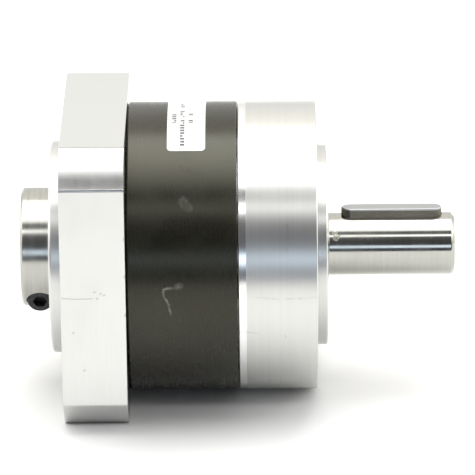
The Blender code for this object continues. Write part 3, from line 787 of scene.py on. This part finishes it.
def clamp_place(along=0.0):
    """Turns local X to the clamp screw's axis and puts its zero along it from the hub's middle."""
    turn = Matrix.Rotation(CLAMP_TURN, 4, "X")
    shift = Matrix.Translation(Vector((CLAMP_X, -CLAMP_OFFSET, along)) * MM)
    return turn @ shift @ Matrix.Rotation(-math.pi / 2, 4, "Y")


def make_clamp_hub(material):
    """Split hub for the motor's shaft, with the clamp screw's recess across its slit."""
    hub = lathe("clamp_hub_body", rounded([
        (HUB_TUBE_R, -46.0, 0.4), (HUB_TUBE_R, -49.0), (HUB_TUBE_R - 1.0, -49.0),
        (HUB_TUBE_R - 1.0, -50.75), (HUB_TUBE_R, -50.75), (HUB_TUBE_R, -66.3),
        (HUB_NECK_R, -66.3, 0.3), (HUB_NECK_R, -73.7), (HUB_R, -73.7, 0.3),
        (HUB_R, HUB_END_X + 0.9, 0.3), (HUB_R - 0.9, HUB_END_X, 0.3), (HUB_BORE_R + 0.6, HUB_END_X),
        (HUB_BORE_R, HUB_END_X + 0.6), (HUB_BORE_R, -56.0), (10.15, -56.0), (10.15, -46.0),
    ]), FINE_STEPS)
    outside, inside, past_end = -HUB_R - 1, 1 - HUB_BORE_R, HUB_END_X - 1
    slit = prism("slit", [
        (HUB_SLIT_X, outside), (past_end, outside), (past_end, inside), (HUB_SLIT_X, inside),
    ], -1.0, 1.0, Matrix.Rotation(CLAMP_TURN, 4, "X"))
    seat, head_r, hole_r, end = CLAMP_SEAT - 0.2, HEAD_R + 0.45, SCREW_R + 0.3, -14.9
    recess = lathe("recess", [
        (0, 30.0), (head_r, 30.0), (head_r, seat), (hole_r, seat), (hole_r, end), (0, end),
    ], 64, clamp_place())
    carve(hub, [slit, recess])
    finish_piece(hub, material, "input", "ground_steel", "clamp_hub")


def make_screws(material):
    """Four screws in each flange, heads outwards, and the screw that closes the hub."""
    for name, seat_x, turn, length in (
            ("output_flange_screw", OUTPUT_FACE_X - HEAD_SEAT_DEPTH, 0, 35.0),
            ("input_flange_screw", INPUT_FACE_X + HEAD_SEAT_DEPTH, math.pi, 30.0)):
        for k, angle in enumerate(SCREW_ANGLES, 1):
            spot = Matrix.Translation(at_angle(SCREW_CIRCLE_R, angle, seat_x))
            place = spot @ Matrix.Rotation(turn, 4, "Z")
            screw = socket_screw(f"{name}_detail_{k}", length, place)
            finish_piece(screw, material, "housing", "black_oxide_steel", f"{name}_{k}")
    screw = socket_screw("clamp_screw_detail", CLAMP_LENGTH, clamp_place(CLAMP_SEAT))
    finish_piece(screw, material, "input", "black_oxide_steel", "clamp_screw")


def make_seals(material):
    """Radial shaft seals, each a channel of rubber with its lip on the shaft or hub."""
    for name, node, profile in (
            ("output_seal_detail", "output_seal", [
                (27.5, 35.0, 0.3), (27.5, 28.1, 0.3), (18.0, 28.1, 0.3), (15.25, 32.0, 0.1),
                (15.25, 33.0, 0.1), (16.0, 34.4, 0.3), (17.5, 33.4, 0.3), (23.8, 33.4, 0.5),
                (24.6, 35.0, 0.3)]),
            ("input_seal_detail", "input_seal", [
                (30.95, -66.6, 0.3), (30.95, -73.5, 0.3), (28.6, -73.5, 0.3), (28.0, -72.3, 0.3),
                (24.2, -72.3, 0.3), (23.5, -72.9, 0.2), (22.75, -72.4, 0.1), (22.75, -71.2, 0.1),
                (25.0, -66.6, 0.3)])):
        seal = lathe(name, rounded(profile), FINE_STEPS)
        finish_piece(seal, material, "housing", "seal_rubber", node)


def make_label(material):
    """Foil bent round the ring gear, with rounded corners, less than a tenth of a millimetre thick."""
    inner_r, outer_r, corner = HOUSING_R + 0.02, HOUSING_R + 0.10, 1.7
    low, high = LABEL_X
    start, end = LABEL_ANGLES
    span = math.radians(end - start) * HOUSING_R
    flat = []
    for cx, cy, first in ((high - corner, span - corner, 0), (low + corner, span - corner, 90),
                          (low + corner, corner, 180), (high - corner, corner, 270)):
        flat += arc(corner, first, first + 90, 6, (cx, cy))
    bm = bmesh.new()
    bm.faces.new([bm.verts.new((a, b, 0)) for a, b in flat])
    strips = 60
    for k in range(1, strips):
        bmesh.ops.bisect_plane(bm, geom=bm.verts[:] + bm.edges[:] + bm.faces[:],
                               plane_co=(0, span * k / strips, 0), plane_no=(0, 1, 0))
    sheet = bmesh.ops.extrude_face_region(bm, geom=bm.faces[:])
    for v in sheet["geom"]:
        if isinstance(v, bmesh.types.BMVert):
            v.co.z = 1.0
    for v in bm.verts:
        r = outer_r if v.co.z > 0.5 else inner_r
        a = math.radians(start) + v.co.y / HOUSING_R
        v.co = Vector((v.co.x, r * math.cos(a), r * math.sin(a))) * MM
    label = make_object("rating_label_foil", bm)
    finish_piece(label, material, "housing", "label_foil", "rating_label")


def give_carried_nodes_materials(replaced):
    """Inner pieces keep their CAD shapes and get the metal or rubber they are made of."""
    gear, bearing, oxide, seal = gear_metal(), bearing_metal(), black_oxide(), rubber()
    for name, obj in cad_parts.items():
        if name in replaced:
            continue
        if "bearing" in name or "needle" in name:
            material = bearing
        elif "circlip" in name:
            material = oxide
        elif "o_ring" in name:
            material = seal
        else:
            material = gear
        obj.data.materials.clear()
        obj.data.materials.append(material)


# ---------------------------------------------------------------- floor, light and camera

def make_floor():
    """Pale floor. Its far front part is left out of reflections, as if the object stood on a table."""
    g = Graph("floor_white")
    haze = g.noise(g.position, 2.0, 2.0, 0.5)
    g.done(g.mix(g.spread(haze, 0.3, 0.7), (0.77, 0.77, 0.765), (0.79, 0.79, 0.785)), 0.0, 0.6,
           Specular_IOR_Level=0.2)
    reach, table_edge = 6.0, -0.45
    for name, near, far in (("floor_table", table_edge, reach), ("floor_front", -reach, table_edge)):
        bm = bmesh.new()
        bmesh.ops.create_grid(bm, x_segments=8, y_segments=8, size=0.5)
        scale = Matrix.Diagonal((2 * reach, far - near, 1.0, 1.0))
        middle = Matrix.Translation((0.0, (near + far) / 2, FLOOR_Z * MM - 0.0001))
        bmesh.ops.transform(bm, matrix=middle @ scale, verts=bm.verts)
        floor = make_object(name, bm)
        floor.data.materials.append(g.material)
        floor.visible_glossy = name == "floor_table"


def grey(level):
    """Colour with the same level in each channel."""
    return level, level, level


def make_world():
    """Studio seen in a ring round the shafts' axis: elevation 0 is the front, 90 straight up."""
    world = bpy.data.worlds.new("studio")
    world.use_nodes = True
    bpy.context.scene.world = world
    w = Tree(world.node_tree)
    direction = w.nodes.new("ShaderNodeTexCoord").outputs["Generated"]
    split = w.node("ShaderNodeSeparateXYZ", direction)
    turn = w.math("ARCTAN2", split.outputs[2], w.times(split.outputs[1], -1.0))
    elevation = w.times(turn, 180 / math.pi)
    sideways = w.math("ABSOLUTE", split.outputs[0])

    def window(value, rise, fall):
        """1 between two soft edges of a value."""
        rising = w.spread(value, *rise, smooth=True)
        return w.times(rising, w.spread(value, *fall, 1.0, 0.0, smooth=True))

    # Elevation in degrees and the colour there: floor, dark room in front, a lamp, bright ceiling.
    stops = (
        (-180, grey(0.14)), (-40, grey(0.16)), (-26, grey(0.148)), (-13.2, grey(0.125)),
        (-9.2, (0.018, 0.020, 0.025)), (14.8, (0.018, 0.018, 0.020)), (30, (0.020, 0.020, 0.021)),
        (46.2, grey(0.038)), (47.4, grey(0.62)), (52.6, grey(0.62)), (53.8, grey(0.045)),
        (66, grey(0.045)), (68, grey(0.14)), (120, (0.265, 0.257, 0.237)),
        (148, (0.25, 0.245, 0.23)), (160, (0.222, 0.222, 0.212)), (178, (0.18, 0.18, 0.178)),
    )
    places = [(degrees + 180) / 360 for degrees, colour in stops]
    ramp = w.node("ShaderNodeValToRGB", w.plus(w.math("DIVIDE", elevation, 360.0), 0.5))
    band = ramp.color_ramp.elements
    band[0].position, band[1].position = places[0], places[-1]
    band[0].color, band[1].color = (*stops[0][1], 1.0), (*stops[-1][1], 1.0)
    for place, (degrees, colour) in list(zip(places, stops))[1:-1]:
        band.new(place).color = (*colour, 1.0)

    # The room's ends are bright, and the blue window and the soft box overhead don't reach them.
    ends = w.times(w.math("POWER", sideways, 3.5),
                   w.spread(split.outputs[2], 0.1, 0.5, 0.05, 1.0, smooth=True))
    across = w.spread(sideways, 0.30, 0.42, 1.0, 0.0, smooth=True)
    blue_window = window(elevation, (3.6, 5.6), (12.8, 14.8))
    soft_box = w.times(window(elevation, (66.3, 68.3), (118.0, 121.0)),
                       w.spread(elevation, 67.0, 98.0, 0.30, 1.0, smooth=True))
    colour = w.mix(ends, ramp.outputs[0], grey(0.95))
    colour = w.mix(w.times(blue_window, across), colour, (0.30, 0.345, 0.40))
    colour = w.mix(w.times(soft_box, across), colour, grey(1.0))
    background = w.nodes["Background"]
    w.feed(background.inputs["Color"], colour)
    background.inputs["Strength"].default_value = 5.0


def make_camera():
    """Long lens, 21 degrees above the shaft, almost square to it, turned by half a degree."""
    azimuth, elevation, roll = (math.radians(v) for v in (0.431, 20.99, -0.628))
    target = Vector((-0.28, 0.0, 3.088)) * MM
    distance = 1862.07 * MM
    back = Vector((math.sin(azimuth) * math.cos(elevation), -math.cos(azimuth) * math.cos(elevation),
                   math.sin(elevation)))
    right = (-back).cross(Vector((0, 0, 1))).normalized()
    up = right.cross(-back)
    rolled_right = right * math.cos(roll) + up * math.sin(roll)
    rolled_up = up * math.cos(roll) - right * math.sin(roll)
    turn = Matrix((rolled_right, rolled_up, back)).transposed().to_4x4()
    data = bpy.data.cameras.new("camera")
    data.sensor_width = 36.0
    data.lens = 352.85
    data.clip_end = 50.0
    camera = bpy.data.objects.new("camera", data)
    bpy.context.scene.collection.objects.link(camera)
    camera.matrix_world = Matrix.Translation(target + back * distance) @ turn
    bpy.context.scene.camera = camera


make_camera()
make_floor()
make_world()
bpy.context.scene.view_settings.view_transform = "Standard"

replaced = ["output_flange", "ring_gear", "input_flange", "output_shaft", "shaft_key", "clamp_hub",
            "clamp_screw", "output_seal", "input_seal", "rating_label"]
replaced += [f"{end}_flange_screw_{k}" for end in ("output", "input") for k in (1, 2, 3, 4)]
give_carried_nodes_materials(replaced)
make_output_flange(output_flange_metal())
make_ring_gear(black_ring_metal())
make_input_flange(milled_metal())
make_output_shaft(shaft_metal())
make_key(key_metal())
make_clamp_hub(hub_metal())
make_screws(black_oxide())
make_seals(rubber())
make_label(label_foil())
